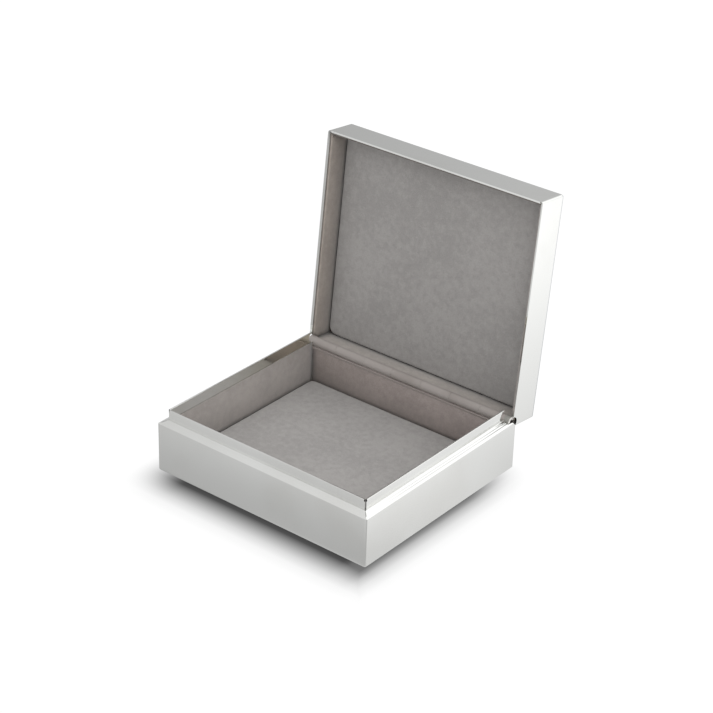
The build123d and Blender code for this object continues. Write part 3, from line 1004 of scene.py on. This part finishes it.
def padShape(size, settings):
    # a flat pad standing on its back, showing side up, with rounded edges
    shape = bmesh.new()
    cellsX = round(size.x / settings["cell"])
    cellsY = round(size.y / settings["cell"])
    bmesh.ops.create_grid(shape, x_segments=cellsX, y_segments=cellsY, size=0.5)
    bmesh.ops.scale(shape, vec=(size.x, size.y, 1), verts=shape.verts)
    for vertex in shape.verts:
        if abs(vertex.co.x) > size.x / 2 - mm and abs(vertex.co.y) > size.y / 2 - mm:
            outward = Vector((math.copysign(1, vertex.co.x), math.copysign(1, vertex.co.y), 0))
            vertex.co -= settings["cornerCut"] * outward
    bmesh.ops.translate(shape, vec=(0, 0, size.z), verts=shape.verts)
    rim = [edge for edge in shape.edges if edge.is_boundary]
    skirt = bmesh.ops.extrude_edge_only(shape, edges=rim)["geom"]
    lowered = [item for item in skirt if isinstance(item, bmesh.types.BMVert)]
    bmesh.ops.translate(shape, vec=(0, 0, -size.z), verts=lowered)
    bmesh.ops.contextual_create(shape, geom=[edge for edge in shape.edges if edge.is_boundary])
    bmesh.ops.recalc_face_normals(shape, faces=shape.faces)
    sharp = [edge for edge in rim if edge.is_valid]
    bmesh.ops.bevel(
        shape, geom=sharp, offset=settings["edgeRound"], segments=settings["edgeSteps"],
        profile=0.5, affect="EDGES", material=-1,
    )
    return shape


def swellPad(piece, size, settings):
    # inflates the pad as cloth, held at its back, and keeps a small share of the swelling
    mesh = piece.data
    rest = [vertex.co.copy() for vertex in mesh.vertices]
    group = piece.vertex_groups.new(name="held")
    heldBelow = size.z - settings["edgeRound"] * settings["heldFrom"]
    held = [vertex.index for vertex in mesh.vertices if vertex.co.z < heldBelow]
    group.add(held, 1, "REPLACE")
    cloth = piece.modifiers.new("cloth", "CLOTH")
    cloth.settings.use_pressure = True
    cloth.settings.uniform_pressure_force = settings["pressure"]
    cloth.settings.vertex_group_mass = "held"
    cloth.settings.effector_weights.gravity = 0
    cloth.settings.bending_stiffness = settings["bending"]
    cloth.settings.tension_stiffness = settings["stretching"]
    cloth.settings.compression_stiffness = settings["stretching"]
    cloth.point_cache.frame_start = 1
    cloth.point_cache.frame_end = settings["frames"]
    scene = bpy.context.scene
    for step in range(1, settings["frames"] + 1):
        scene.frame_set(step)
    swollen = bpy.data.meshes.new_from_object(piece.evaluated_get(bpy.context.evaluated_depsgraph_get()))
    moves = [after.co - before for after, before in zip(swollen.vertices, rest)]
    most = max(move.length for move in moves)
    piece.modifiers.remove(cloth)
    piece.vertex_groups.clear()
    scene.frame_set(1)
    share = min(1, settings["crown"] / most) if most > 0 else 0
    for vertex, before, move in zip(mesh.vertices, rest, moves):
        vertex.co = before + move * share
    bpy.data.meshes.remove(swollen)
    print("  swollen by %.2f mm, kept %.2f mm" % (most / mm, most * share / mm))


def buildPad(settings):
    low, high = boxOf(settings["node"], settings["faceDown"])
    size = high - low
    size.z += settings["loft"] - settings["crown"]
    shape = padShape(size, settings)
    mesh = bpy.data.meshes.new(settings["name"])
    shape.to_mesh(mesh)
    shape.free()
    piece = bpy.data.objects.new(settings["name"], mesh)
    bpy.context.scene.collection.objects.link(piece)
    swellPad(piece, size, settings)
    for vertex in mesh.vertices:
        if vertex.co.z > size.z / 2:
            vertex.co.z += settings["dent"] * noise.noise(vertex.co / settings["dentSize"])
    centre = (low + high) / 2
    if settings["faceDown"]:
        turn = toOpen @ Matrix.Translation((centre.x, centre.y, high.z)) @ Matrix.Rotation(math.pi, 4, "X")
    else:
        turn = Matrix.Translation((centre.x, centre.y, low.z))
    mesh.transform(turn)
    mesh.materials.append(finishes["suede_pad"])
    mesh.shade_smooth()
    finer = piece.modifiers.new("finer", "SUBSURF")
    finer.levels = 1
    finer.render_levels = 1
    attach(piece, settings["body"])
    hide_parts(settings["node"])


for pad in (floorPad, lidPad):
    buildPad(pad)
    print(pad["name"], "ready")
